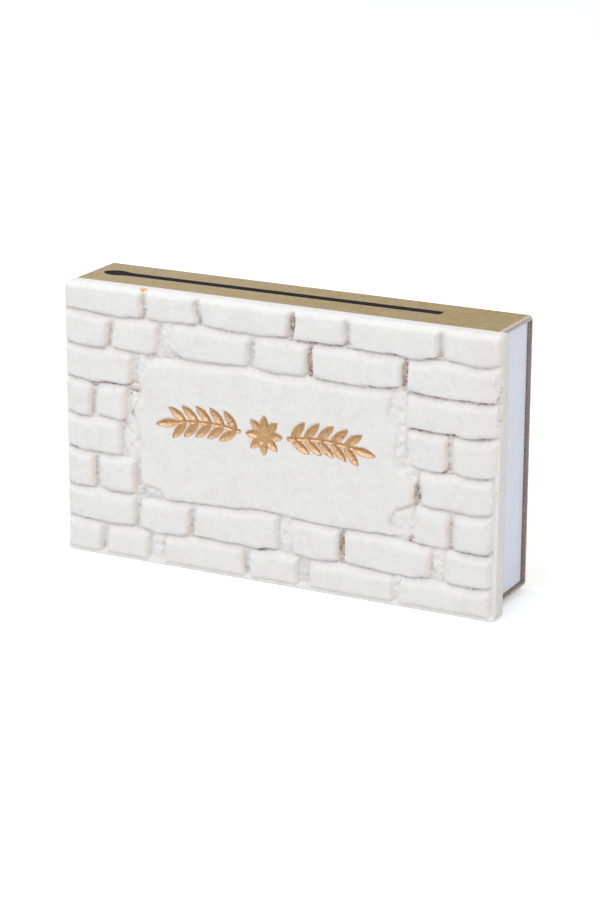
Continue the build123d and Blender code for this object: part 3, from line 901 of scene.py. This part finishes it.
def front_sheet(relief, sizes):
    """A sheet over the plaque's rounded front that looks towards -Y, with small cells on the relief."""
    low, middle, half = relief.low, relief.middle, relief.half
    bm = bmesh.new()
    front_grid(bm, Vector((middle.x, low.y, middle.z)), 2 * half.x, 2 * half.z, sizes.cell)
    for vert in bm.verts:
        side, up = vert.co.x - middle.x, vert.co.z - middle.z
        past_x = max(abs(side) - (half.x - CORNER_RADIUS), 0)
        past_z = max(abs(up) - (half.z - CORNER_RADIUS), 0)
        if past_x > 0 and past_z > 0:
            shrink = max(past_x, past_z) / math.hypot(past_x, past_z)
            vert.co.x = middle.x + math.copysign(half.x - CORNER_RADIUS + past_x * shrink, side)
            vert.co.z = middle.z + math.copysign(half.z - CORNER_RADIUS + past_z * shrink, up)
    depths, details = {}, {}
    for level in range(HALVINGS + 1):
        for vert in bm.verts:
            if vert not in depths:
                depths[vert] = relief.depth(vert.co.x, vert.co.z)
                details[vert] = relief.detail(vert.co.x, vert.co.z, depths[vert])
        if level < HALVINGS:
            split = [edge for edge in bm.edges if max(details[vert] for vert in edge.verts) > level]
            bmesh.ops.subdivide_edges(bm, edges=split, cuts=1, use_grid_fill=True)
    for vert in bm.verts:
        vert.co.y = low.y + depths[vert]
    return bm


def ease(bm, rounds):
    """Wears the relief down a little, without moving the cells sideways."""
    inner = [vert for vert in bm.verts if not vert.is_boundary]
    for _ in range(rounds):
        bmesh.ops.smooth_vert(
            bm, verts=inner, factor=0.5, use_axis_x=False, use_axis_y=True, use_axis_z=False)


def weather(bm, sizes, relief, cut):
    """Hollows the faces, roughens the mortar and leans it under the bricks, and cuts the ornament's bed."""
    front = relief.low.y
    for vert in bm.verts:
        x, y, z = vert.co
        depth = min(max((y - front) / RELIEF_DEPTH, 0), 1)
        inner = fade(relief.from_edge(x, z), *WEAR_INWARD)
        here = Vector((x, 0, z))
        soft = spot(x, z, SOFT_MORTAR, gain=2.2)
        sag = sum(share * patches(here, size) for size, share in SAG_WAVES) * sizes.sag
        lump = sum(waves(here, size) * (height + more * soft) for size, height, more in MORTAR_LUMPS)
        lift = soft * (SOFT_LIFT + SOFT_LIFT_WANDER * waves(here, SOFT_WAVE))
        hole = spot(x, z, DARK_STREAKS, gain=1.8) * STREAK_HOLE
        mortar = fade(depth, *MORTAR_DEPTH) * inner
        y = max(y + sag + (lump - lift + hole) * mortar, front + SKIN)
        lip = relief.lip(x, z) * fade(relief.high.x - x, *LIP_RIM)
        if lip > 0:
            lip *= LIP_HEIGHT + LIP_HEIGHT_WANDER * waves(here, LIP_HEIGHT_WAVE)
            y = min(y, front + (1.0 - lip) * RELIEF_DEPTH)
        x += sizes.sidecut * depth * inner
        z += sizes.undercut * depth * inner
        if cut.near(x, z, ORNAMENT_REACH):
            outside, _ = cut.outside(x, z)
            y = front + SKIN + (y - front - SKIN) * fade(outside, *ORNAMENT_OUTWARD)
            y += ornament_bed(outside)
        vert.co = (x, y, z)


def ornament_bed(outside):
    """Depth of the cut that the ornament lies in, at this distance outside its outline."""
    gilding = bpy.context.scene.matchbox_gilding
    if outside >= gilding.lap:
        return 0
    bed = min(max(gilding.lap * BED_MARGIN - outside, 0) * gilding.steepness, gilding.depth)
    return (bed + BED_CLEARANCE) * fade(gilding.lap - outside, *BED_WALL)


def add_sides(bm, sizes, low, high):
    """Draws the sheet's rim back to the plaque's back, slightly uneven, and closes the back."""
    rim = [edge for edge in bm.edges if edge.is_boundary]
    middle, half = (low + high) / 2, (high - low) / 2
    (wave_size, wave_height), (grain_size, grain_height) = SIDE_WAVE, SIDE_GRAIN
    for ring in range(1, sizes.side_rings + 1):
        made = bmesh.ops.extrude_edge_only(bm, edges=rim)["geom"]
        verts = [item for item in made if isinstance(item, bmesh.types.BMVert)]
        rim = [item for item in made if isinstance(item, bmesh.types.BMEdge) and item.is_boundary]
        left = sizes.side_rings - ring
        for vert in verts:
            vert.co.y += (high.y - vert.co.y) / (left + 1)
            sunk = BACK_ROUNDING
            if left:
                rough = wave_height * patches(vert.co, wave_size) + grain_height * waves(vert.co, grain_size)
                sunk = max(rough, 0) * (FIRST_RING_SHARE if ring == 1 else 1)
            for axis in (0, 2):
                offset = vert.co[axis] - middle[axis]
                if abs(offset) > half[axis] - SIDE_REACH:
                    kept = min(abs(offset), half[axis] - sunk)
                    vert.co[axis] = middle[axis] + math.copysign(kept, offset)
    bmesh.ops.edgeloop_fill(bm, edges=rim)
    bmesh.ops.recalc_face_normals(bm, faces=bm.faces)


def dirt_and_shade_share(relief, vert, depth):
    """How much dirt and painted shade lie here: painted shade under the bricks and in the creases and upright
    joints, with their dirt, and most in the streaks.
    """
    x, _, z = vert.co
    here = Vector((x, 0, z))
    patch = fade(patches(here, DIRT_AND_SHADE_PATCH), 0.28, 0.78)
    fleck = fade(patches(here, DIRT_AND_SHADE_FLECK), 0.34, 0.66)
    streak = spot(x, z, DARK_STREAKS, gain=2.2)
    # Painted shade: the flanks that look down and the deepest parts of the joints darken
    under = fade(-vert.normal.z, *UNDER_SLOPE) * fade(depth, *UNDER_DEPTH)
    shadow = fade(-vert.normal.z, *SHADOW_SLOPE) * fade(depth, *SHADOW_DEPTH)
    crease = fade(depth, *CREASE_DEPTH) * (1 - fade(vert.normal.z, *CREASE_SLOPE))
    upright = relief.valley(x, z) * fade(depth, *MORTAR_DEPTH) if MORTAR_DEPTH[0] < depth < 2 else 0
    soil_and_shade = under * (0.08 + 0.50 * patch * fleck) + crease * (0.12 + 0.30 * patch * fleck)
    dark = max(shadow, crease) * (0.24 + 0.40 * fleck) + 0.16 * fade(depth, *STREAK_DEPTH)
    soil_and_shade += streak * dark * (1 - 0.6 * upright)
    soil_and_shade += upright * (0.14 + 0.10 * patch + 0.03 * fleck + 0.10 * streak)
    inside_rim = fade(relief.high.z - z, *DIRT_AND_SHADE_FROM_TOP) * fade(z - relief.low.z, *DIRT_AND_SHADE_FROM_FOOT)
    inside_rim *= fade(relief.high.x - x, *DIRT_AND_SHADE_FROM_RIGHT) * fade(x - relief.low.x, *DIRT_AND_SHADE_FROM_LEFT)
    speck = fade(waves(here, DIRT_SPECK), 0.12, 0.32)
    specks = spot(x, z, GREY_SPECKS, gain=2.0) * speck * 0.5 if depth < 1.2 else 0
    return min(soil_and_shade * inside_rim + specks, 1)


def warm_shade_share(relief, vert, depth):
    """How much painted shade lies here, darker and warmer: on flanks that look right, and on the border at the
    right edge, more towards its top.
    """
    x, _, z = vert.co
    right = relief.high.x - x
    side = fade(vert.normal.x, *FLANK_SLOPE) * (0.55 + 0.45 * fade(depth, *FLANK_DEPTH))
    # Painted shade: darker towards the right edge, most near the top
    border = (0.04 + 0.44 * relief.height_share(z)) * fade(right, *WARM_SHADE_BORDER)
    border *= 0.75 + 0.5 * waves(Vector((x, 0, z)), WARM_SHADE_WAVE)
    return min(side * (0.30 + 0.70 * fade(right, *WARM_SHADE_FLANK_INWARD)) + border, 1)


def paint_plaque(bm, relief):
    """Paints on the mesh where dirt and painted shade lie, where painted warm shade lies on flanks and at the
    right edge, and where specks of gold hang.
    """
    dirt = bm.verts.layers.float.new("dirt")
    flank = bm.verts.layers.float.new("flank")
    gilt = bm.verts.layers.float.new("gilt")
    bm.normal_update()
    for vert in bm.verts:
        depth = (vert.co.y - relief.low.y) / RELIEF_DEPTH
        if depth < SIDES_DEPTH:
            vert[dirt] = dirt_and_shade_share(relief, vert, depth)
            vert[flank] = warm_shade_share(relief, vert, depth)
            vert[gilt] = spot(vert.co.x, vert.co.z, GILT_SPOTS, gain=1.4) if depth < 2.6 else 0


# Operators

class MATCHBOX_OT_plaque(Operator):
    """Model the cast plaque with its worn bricks, rough mortar and the ornament's bed"""

    bl_idname = "matchbox.plaque"
    bl_label = "Plaque"

    def execute(self, context):
        sizes = context.scene.matchbox_plaque
        noise.seed_set(WANDER_SEED)
        cut = Cut()
        relief = Relief(sizes, cut)
        bm = front_sheet(relief, sizes)
        ease(bm, sizes.softening)
        weather(bm, sizes, relief, cut)
        add_sides(bm, sizes, relief.low, relief.high)
        paint_plaque(bm, relief)
        piece = add_piece("plaque_stone", bm, stone_finish(sizes))
        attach(piece, "holder")
        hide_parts("plaque")
        return {"FINISHED"}


# A leaf: how its grid reaches past the ornament, in cells, and is trimmed to it, its torn rim and its crinkles
LEAF_MARGIN = 3
LEAF_TRIM_SHARE = 0.8
LEAF_EDGE = 0.7 * MM
LEAF_EDGE_SHARE = 0.9
LEAF_CLEARANCE = 0.02 * MM
CRINKLES = ((0.55 * MM, 1.0), (0.27 * MM, 0.5))
CRINKLE_SHARE = 0.6
CRINKLE_INWARD = (-0.1 * MM, 0.25 * MM)


class MATCHBOX_OT_gilding(Operator):
    """Lay crinkled gold leaf in the ornament's cut"""

    bl_idname = "matchbox.gilding"
    bl_label = "Gilding"

    def execute(self, context):
        sizes = context.scene.matchbox_gilding
        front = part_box("plaque")[0].y
        cut = Cut()
        material = gold_finish(sizes)
        for node in GILDED_NODES:
            piece = add_piece(node + "_leaf", self.leaf(sizes, node, cut, front), material)
            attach(piece, "holder")
            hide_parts(node)
        return {"FINISHED"}

    def leaf(self, sizes, node, cut, front):
        """A sheet of leaf cut to the ornament's outline, ragged at its rim and sunk into the cut."""
        low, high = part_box(node)
        middle = (low + high) / 2
        margin = LEAF_MARGIN * sizes.cell
        width, height = high.x - low.x + 2 * margin, high.z - low.z + 2 * margin
        bm = bmesh.new()
        front_grid(bm, Vector((middle.x, front, middle.z)), width, height, sizes.cell)
        outside = {vert: cut.outside(vert.co.x, vert.co.z) for vert in bm.verts}
        bare = [vert for vert in bm.verts if outside[vert][0] > sizes.lap * LEAF_TRIM_SHARE]
        bmesh.ops.delete(bm, geom=bare, context="VERTS")
        loose = [vert for vert in bm.verts if not vert.link_faces]
        bmesh.ops.delete(bm, geom=loose, context="VERTS")
        for vert in bm.verts:
            distance, nearest = outside[vert]
            here = Vector((vert.co.x, 0, vert.co.z))
            if vert.is_boundary:
                distance = sizes.lap * LEAF_EDGE_SHARE * (1 + waves(here, LEAF_EDGE))
                away = Vector((vert.co.x - nearest.x, 0, vert.co.z - nearest.z))
                if outside[vert][0] < 0:
                    away.negate()
                if away.length > 0:
                    away.normalize()
                vert.co.x = nearest.x + away.x * distance
                vert.co.z = nearest.z + away.z * distance
            bed = min(max(-distance, 0) * sizes.steepness, sizes.depth)
            crinkle = sum(share * waves(here, size) for size, share in CRINKLES) * sizes.crinkle
            crinkle *= fade(-distance, *CRINKLE_INWARD)
            vert.co.y = front + LEAF_CLEARANCE + bed + CRINKLE_SHARE * max(crinkle, -bed)
        bmesh.ops.recalc_face_normals(bm, faces=bm.faces)
        if sum(face.normal.y for face in bm.faces) > 0:
            bmesh.ops.reverse_faces(bm, faces=bm.faces)
        bm.normal_update()
        # Painted highlight: the flanks that look up are marked for the bright gold
        burnish = bm.verts.layers.float.new("burnish")
        for vert in bm.verts:
            vert[burnish] = fade(vert.normal.z, *HIGHLIGHT_SLOPE)
        bmesh.ops.solidify(bm, geom=bm.faces[:], thickness=sizes.leaf_thickness)
        return bm


class MATCHBOX_OT_sleeve(Operator):
    """Finish the card sleeve, its glue and its striking strip"""

    bl_idname = "matchbox.sleeve"
    bl_label = "Sleeve"

    def execute(self, context):
        colors = context.scene.matchbox_sleeve
        finish_node("sleeve", kraft_finish(colors))
        finish_node("striker_strip", striker_finish(colors))
        glue = glue_finish(colors)
        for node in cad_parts:
            if node.startswith("glue_pad") or node == "seam_glue":
                finish_node(node, glue)
        return {"FINISHED"}


class MATCHBOX_OT_tray(Operator):
    """Finish the card tray"""

    bl_idname = "matchbox.tray"
    bl_label = "Tray"

    def execute(self, context):
        finish_node("tray", tray_finish(context.scene.matchbox_tray))
        return {"FINISHED"}


# A match: how far its splint stays short of the head's tip, how true it is, and the head's outline as shares
# of its length and radius
SPLINT_SHORT = 3.4 * MM
SPLINT_CUTS = 18
SPLINT_WAVES = Vector((1 / (11 * MM), 1 / (3 * MM), 1 / (3 * MM)))
SPLINT_ROUGH = 0.05 * MM
SPLINT_TAIL_ROUGH = 0.35 * MM
HEAD_PROFILE = (
    (0.0, 0.70), (0.02, 0.73), (0.10, 0.80), (0.22, 0.90), (0.38, 0.98), (0.55, 1.0),
    (0.72, 0.93), (0.86, 0.74), (0.95, 0.45), (0.99, 0.18), (1.0, 0.0),
)
HEAD_STEPS = 20
HEAD_NECK = 0.5 * MM
TIP_SLICE = 0.05 * MM
DRIFT_RANGE = 90


class MATCHBOX_OT_matches(Operator):
    """Model every match: a split splint and its dipped head"""

    bl_idname = "matchbox.matches"
    bl_label = "Matches"

    def execute(self, context):
        sizes = context.scene.matchbox_match
        materials = wood_finish(sizes), head_finish(sizes)
        noise.seed_set(WANDER_SEED)
        for node in sorted(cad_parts):
            if node.startswith("match_"):
                piece = add_piece(node + "_wood", self.match(sizes, node), *materials)
                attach(piece, "tray")
                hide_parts(node)
        return {"FINISHED"}

    def match(self, sizes, node):
        """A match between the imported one's tail and tip, uneven in its own way."""
        solid = merged_copy(node)
        points = sorted((vert.co.copy() for vert in solid.verts), key=lambda point: point.x)
        solid.free()
        tail = sum(points[:4], Vector()) / 4
        tips = [point for point in points if point.x > points[-1].x - TIP_SLICE]
        tip = sum(tips, Vector()) / len(tips)
        length = (tip - tail).length
        luck = random.Random(int(node[-2:]))
        drift = Vector([luck.uniform(0, DRIFT_RANGE) for _ in range(3)])
        bm = bmesh.new()
        self.add_splint(bm, sizes, length - SPLINT_SHORT, drift)
        self.add_head(bm, sizes, length, drift)
        along = (tip - tail).normalized()
        side = Vector((0, 1, 0))
        turn = Matrix((along, side, along.cross(side))).transposed().to_4x4()
        bmesh.ops.transform(bm, matrix=Matrix.Translation(tail) @ turn, verts=bm.verts)
        bmesh.ops.recalc_face_normals(bm, faces=bm.faces)
        return bm

    def add_splint(self, bm, sizes, length, drift):
        """A splint along +X from the origin, its arrises worn and its sides split a little out of true."""
        shape = Matrix.Diagonal((length, sizes.splint_side, sizes.splint_side, 1))
        bmesh.ops.create_cube(bm, size=1, matrix=Matrix.Translation((length / 2, 0, 0)) @ shape)
        bmesh.ops.bevel(
            bm, geom=bm.edges[:], offset=sizes.arris, offset_type="OFFSET", segments=1, profile=0.5,
            affect="EDGES", material=-1)
        long_edges = [edge for edge in bm.edges if abs(edge.verts[0].co.x - edge.verts[1].co.x) > length / 2]
        bmesh.ops.subdivide_edges(bm, edges=long_edges, cuts=SPLINT_CUTS, use_grid_fill=True)
        for vert in bm.verts:
            rough = noise.noise_vector(vert.co * SPLINT_WAVES + drift)
            vert.co.y += rough.y * SPLINT_ROUGH
            vert.co.z += rough.z * SPLINT_ROUGH
            if vert.co.x < 1 * MM:
                vert.co.x += (0.5 + 0.5 * noise.noise(vert.co / (0.9 * MM) + drift)) * SPLINT_TAIL_ROUGH

    def add_head(self, bm, sizes, length, drift):
        """A dipped head: a drop of compound over the splint's end, thinning towards its neck."""
        start = length - sizes.head_length
        before = set(bm.verts)
        line = [
            bm.verts.new((start + share * sizes.head_length, 0, wide * sizes.head_radius))
            for share, wide in HEAD_PROFILE]
        edges = [bm.edges.new(pair) for pair in zip(line, line[1:])]
        bmesh.ops.spin(
            bm, geom=line + edges, cent=(0, 0, 0), axis=(1, 0, 0), angle=math.tau, steps=HEAD_STEPS,
            use_merge=True)
        verts = [vert for vert in bm.verts if vert not in before]
        bmesh.ops.remove_doubles(bm, verts=verts, dist=10 * MERGE)
        verts = [vert for vert in bm.verts if vert not in before]
        for vert in verts:
            lump = 0.985 + 0.04 * noise.noise(vert.co / (1.5 * MM) + drift)
            vert.co.y *= lump
            vert.co.z *= lump
            if vert.co.x < start + HEAD_NECK:
                vert.co.x += noise.noise(vert.co / (1.1 * MM) + drift) * HEAD_NECK
        neck = [edge for edge in bm.edges if edge.is_boundary and edge.verts[0] not in before]
        bmesh.ops.edgeloop_fill(bm, edges=neck)
        for face in {face for vert in verts for face in vert.link_faces}:
            face.material_index = 1


# The stage: each light's name, setting, place and width, what they look at, and the sky's colour
LIGHTS = (
    ("key_light", "key_power", (-0.55, -1.60, 1.35), 1.4),
    ("top_light", "top_power", (-0.30, -0.02, 0.50), 0.4),
    ("side_light", "side_power", (0.95, -0.25, 0.45), 0.7),
)
LIGHTS_AIM = Vector((0, 0, 0.03))
SKY_COLOR = (0.97, 0.985, 1.0, 1)
PICTURE_HEIGHT = 36
NEAREST_SEEN = 0.01


class MATCHBOX_OT_stage(Operator):
    """Set the floor, the soft lights and the camera"""

    bl_idname = "matchbox.stage"
    bl_label = "Stage"

    def execute(self, context):
        sizes = context.scene.matchbox_stage
        bm = bmesh.new()
        bmesh.ops.create_grid(bm, x_segments=4, y_segments=4, size=sizes.floor_size / 2)
        floor = add_piece("floor", bm, floor_finish(sizes))
        for name, power, place, width in LIGHTS:
            self.light(name, getattr(sizes, power), place, width)
        self.world(context, sizes)
        self.camera(context, sizes)
        context.scene.view_settings.view_transform = "Standard"
        return {"FINISHED"}

    def light(self, name, power, place, width):
        lamp = bpy.data.lights.new(name, "AREA")
        lamp.energy = power
        lamp.size = width
        holder = bpy.data.objects.new(name, lamp)
        holder.location = place
        holder.rotation_euler = (LIGHTS_AIM - Vector(place)).to_track_quat("-Z", "Y").to_euler()
        bpy.context.scene.collection.objects.link(holder)

    def world(self, context, sizes):
        """A sky that lights the object evenly and that the camera sees as white."""
        world = bpy.data.worlds.new("studio")
        world.use_nodes = True
        nodes, links = world.node_tree.nodes, world.node_tree.links
        lit, shown = nodes["Background"], nodes.new("ShaderNodeBackground")
        lit.inputs["Color"].default_value = SKY_COLOR
        lit.inputs["Strength"].default_value = sizes.sky
        shown.inputs["Color"].default_value = (1, 1, 1, 1)
        shown.inputs["Strength"].default_value = 1
        mix = nodes.new("ShaderNodeMixShader")
        links.new(seen_directly(world.node_tree), mix.inputs[0])
        links.new(lit.outputs[0], mix.inputs[1])
        links.new(shown.outputs[0], mix.inputs[2])
        links.new(mix.outputs[0], nodes["World Output"].inputs["Surface"])
        context.scene.world = world

    def camera(self, context, sizes):
        data = bpy.data.cameras.new("camera")
        data.sensor_fit = "VERTICAL"
        data.sensor_height = PICTURE_HEIGHT
        data.lens = sizes.lens
        data.clip_start = NEAREST_SEEN
        camera = bpy.data.objects.new("camera", data)
        turn = Matrix.Rotation(sizes.yaw, 4, "Z") @ Matrix.Rotation(math.pi / 2 - sizes.pitch, 4, "X")
        roll = Matrix.Rotation(sizes.roll, 4, "Z")
        camera.matrix_world = Matrix.Translation(sizes.camera_place) @ turn @ roll
        context.scene.collection.objects.link(camera)
        context.scene.camera = camera


# Panel and registration

STEPS = (
    ("matchbox.plaque", "matchbox_plaque", PlaqueSettings),
    ("matchbox.gilding", "matchbox_gilding", GildingSettings),
    ("matchbox.sleeve", "matchbox_sleeve", SleeveSettings),
    ("matchbox.tray", "matchbox_tray", TraySettings),
    ("matchbox.matches", "matchbox_match", MatchSettings),
    ("matchbox.stage", "matchbox_stage", StageSettings),
)


class MATCHBOX_PT_panel(Panel):
    """Steps that build the matchbox, each with its sizes and colours"""

    bl_idname = "MATCHBOX_PT_panel"
    bl_label = "Matchbox"
    bl_space_type = "VIEW_3D"
    bl_region_type = "UI"
    bl_category = "Matchbox"

    def draw(self, context):
        for operator, name, settings in STEPS:
            box = self.layout.box()
            box.operator(operator)
            for value in settings.__annotations__:
                box.prop(getattr(context.scene, name), value)


CLASSES = (
    PlaqueSettings, GildingSettings, SleeveSettings, TraySettings, MatchSettings, StageSettings,
    MATCHBOX_OT_plaque, MATCHBOX_OT_gilding, MATCHBOX_OT_sleeve, MATCHBOX_OT_tray, MATCHBOX_OT_matches,
    MATCHBOX_OT_stage, MATCHBOX_PT_panel,
)


def register():
    for item in CLASSES:
        bpy.utils.register_class(item)
    for _, name, settings in STEPS:
        setattr(bpy.types.Scene, name, PointerProperty(type=settings))


def unregister():
    for _, name, _ in STEPS:
        delattr(bpy.types.Scene, name)
    for item in reversed(CLASSES):
        bpy.utils.unregister_class(item)


def main():
    register()
    bpy.ops.matchbox.stage()
    bpy.ops.matchbox.plaque()
    bpy.ops.matchbox.gilding()
    bpy.ops.matchbox.sleeve()
    bpy.ops.matchbox.tray()
    bpy.ops.matchbox.matches()


if __name__ == "__main__":
    main()
